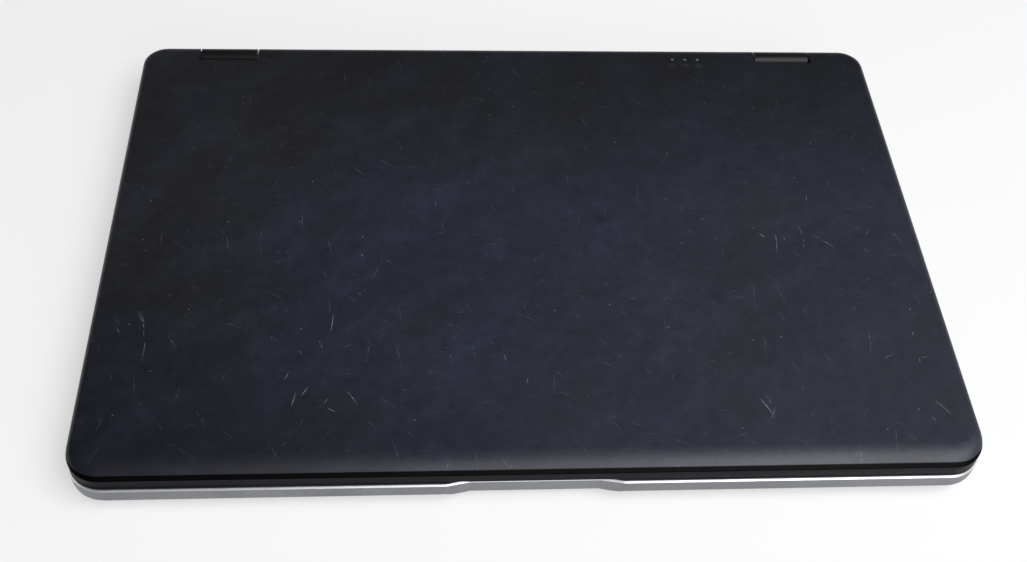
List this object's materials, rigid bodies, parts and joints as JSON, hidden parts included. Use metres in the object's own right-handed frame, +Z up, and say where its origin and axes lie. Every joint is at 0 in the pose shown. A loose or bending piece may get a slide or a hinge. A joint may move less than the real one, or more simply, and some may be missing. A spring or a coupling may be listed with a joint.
{
  "type": "laptop computer",
  "caption": "Slim business laptop with a hinged soft-touch lid, silver base frame with a finger scoop, island keyboard, pointing stick, touchpad and sockets round the base.",
  "frame": {"origin": "on the table under the middle of the closed case", "axes": "+X to the right along the hinge line, +Y to the rear, +Z up"},
  "size_m": [0.338, 0.2304, 0.0222],
  "materials": {
    "soft_touch_lid": "soft-touch paint, worn",
    "bezel_plastic": "fine grain",
    "silver_frame": "satin",
    "deck_plastic": "soft-touch",
    "bottom_black": "fine grain",
    "key_plastic": "satin",
    "button_plastic": "satin",
    "light_pipe": "clear",
    "screen": "anti-glare",
    "panel_metal": "foil",
    "rubber": "matt",
    "steel": "satin",
    "port_metal": "satin",
    "port_plastic": "moulded",
    "board": "lacquered",
    "chip": "moulded",
    "copper": "bare metal",
    "battery_case": "moulded",
    "cable_film": "film"
  },
  "bodies": {
    "base": {"base_frame": "silver_frame", "bottom_cover": "bottom_black", "rubber_feet": "rubber", "base_screws": "steel", "palm_rest": "deck_plastic", "keyboard_bezel": "bezel_plastic", "keyboard_plate": "steel", "pointing_stick": "rubber", "touchpad": "button_plastic", "usb_ports": "port_metal", "hdmi_port": "port_metal", "network_port": "port_plastic", "card_reader": "port_metal", "audio_jack": "port_plastic", "power_jack": "port_plastic", "fan_housing": "chip", "heat_sink": "copper", "system_board": "board", "processor": "chip", "memory_module": "board", "solid_state_drive": "board", "wireless_card": "board", "coin_cell": "steel", "battery_pack": "battery_case", "speakers": "chip", "hinge_pins": "steel", "hinge_bracket_left": "steel", "hinge_bracket_right": "steel", "hinge_cover_left": "bezel_plastic", "hinge_cover_right": "bezel_plastic"},
    "lid": {"lid_back_cover": "soft_touch_lid", "display_bezel": "bezel_plastic", "lcd_panel": "panel_metal", "lcd_screen": "screen", "webcam_module": "chip", "wireless_antennas": "copper", "display_cable": "cable_film", "lid_screws": "steel", "lid_bumpers": "rubber", "status_light_pipe": "light_pipe", "hinge_arm_left": "steel", "hinge_arm_right": "steel"},
    "wireless_switch": {"wireless_switch": "button_plastic"},
    "fan_rotor": {"fan_rotor": "chip"},
    "keys_function_row": {"keys_function_row": "key_plastic"},
    "keys_number_row": {"keys_number_row": "key_plastic"},
    "keys_upper_letter_row": {"keys_upper_letter_row": "key_plastic"},
    "keys_home_row": {"keys_home_row": "key_plastic"},
    "keys_lower_letter_row": {"keys_lower_letter_row": "key_plastic"},
    "keys_modifier_row": {"keys_modifier_row": "key_plastic"},
    "keys_arrow_cluster": {"keys_arrow_cluster": "key_plastic"},
    "space_bar": {"space_bar": "key_plastic"},
    "touchpad_left_button": {"touchpad_left_button": "button_plastic"},
    "touchpad_right_button": {"touchpad_right_button": "button_plastic"},
    "stick_left_button": {"stick_left_button": "button_plastic"},
    "stick_right_button": {"stick_right_button": "button_plastic"},
    "power_button": {"power_button": "button_plastic"},
    "mute_button": {"mute_button": "button_plastic"},
    "volume_down_button": {"volume_down_button": "button_plastic"},
    "volume_up_button": {"volume_up_button": "button_plastic"}
  },
  "joints": [
    {"name": "lid_hinge", "type": "hinge", "parent": "base", "child": "lid", "pos_m": [0, 0.11025, 0.0178], "axis": [-1, 0, 0], "range_deg": [0, 135]},
    {"name": "fan_spin", "type": "hinge", "parent": "base", "child": "fan_rotor", "pos_m": [-0.1234, 0.062, 0.0058], "axis": [0, 0, 1], "continuous": true},
    {"name": "wireless_switch_slide", "type": "slide", "parent": "base", "child": "wireless_switch", "axis": [0, 1, 0], "range_m": [0, 0.003]},
    {"name": "keys_function_row_press", "type": "slide", "parent": "base", "child": "keys_function_row", "axis": [0, 0, -1], "range_m": [0, 0.0019], "stiffness_N_per_m": 220, "springref_m": -0.0012},
    {"name": "keys_number_row_press", "type": "slide", "parent": "base", "child": "keys_number_row", "axis": [0, 0, -1], "range_m": [0, 0.0019], "stiffness_N_per_m": 220, "springref_m": -0.0012},
    {"name": "keys_upper_letter_row_press", "type": "slide", "parent": "base", "child": "keys_upper_letter_row", "axis": [0, 0, -1], "range_m": [0, 0.0019], "stiffness_N_per_m": 220, "springref_m": -0.0012},
    {"name": "keys_home_row_press", "type": "slide", "parent": "base", "child": "keys_home_row", "axis": [0, 0, -1], "range_m": [0, 0.0019], "stiffness_N_per_m": 220, "springref_m": -0.0012},
    {"name": "keys_lower_letter_row_press", "type": "slide", "parent": "base", "child": "keys_lower_letter_row", "axis": [0, 0, -1], "range_m": [0, 0.0019], "stiffness_N_per_m": 220, "springref_m": -0.0012},
    {"name": "keys_modifier_row_press", "type": "slide", "parent": "base", "child": "keys_modifier_row", "axis": [0, 0, -1], "range_m": [0, 0.0019], "stiffness_N_per_m": 220, "springref_m": -0.0012},
    {"name": "keys_arrow_cluster_press", "type": "slide", "parent": "base", "child": "keys_arrow_cluster", "axis": [0, 0, -1], "range_m": [0, 0.0019], "stiffness_N_per_m": 220, "springref_m": -0.0012},
    {"name": "space_bar_press", "type": "slide", "parent": "base", "child": "space_bar", "axis": [0, 0, -1], "range_m": [0, 0.0019], "stiffness_N_per_m": 220, "springref_m": -0.0012},
    {"name": "touchpad_left_button_press", "type": "slide", "parent": "base", "child": "touchpad_left_button", "axis": [0, 0, -1], "range_m": [0, 0.0008], "stiffness_N_per_m": 600, "springref_m": -0.0006},
    {"name": "touchpad_right_button_press", "type": "slide", "parent": "base", "child": "touchpad_right_button", "axis": [0, 0, -1], "range_m": [0, 0.0008], "stiffness_N_per_m": 600, "springref_m": -0.0006},
    {"name": "stick_left_button_press", "type": "slide", "parent": "base", "child": "stick_left_button", "axis": [0, 0, -1], "range_m": [0, 0.0008], "stiffness_N_per_m": 600, "springref_m": -0.0006},
    {"name": "stick_right_button_press", "type": "slide", "parent": "base", "child": "stick_right_button", "axis": [0, 0, -1], "range_m": [0, 0.0008], "stiffness_N_per_m": 600, "springref_m": -0.0006},
    {"name": "power_button_press", "type": "slide", "parent": "base", "child": "power_button", "axis": [0, 0, -1], "range_m": [0, 0.0005], "stiffness_N_per_m": 1000, "springref_m": -0.0005},
    {"name": "mute_button_press", "type": "slide", "parent": "base", "child": "mute_button", "axis": [0, 0, -1], "range_m": [0, 0.0005], "stiffness_N_per_m": 1000, "springref_m": -0.0005},
    {"name": "volume_down_button_press", "type": "slide", "parent": "base", "child": "volume_down_button", "axis": [0, 0, -1], "range_m": [0, 0.0005], "stiffness_N_per_m": 1000, "springref_m": -0.0005},
    {"name": "volume_up_button_press", "type": "slide", "parent": "base", "child": "volume_up_button", "axis": [0, 0, -1], "range_m": [0, 0.0005], "stiffness_N_per_m": 1000, "springref_m": -0.0005}
  ]
}
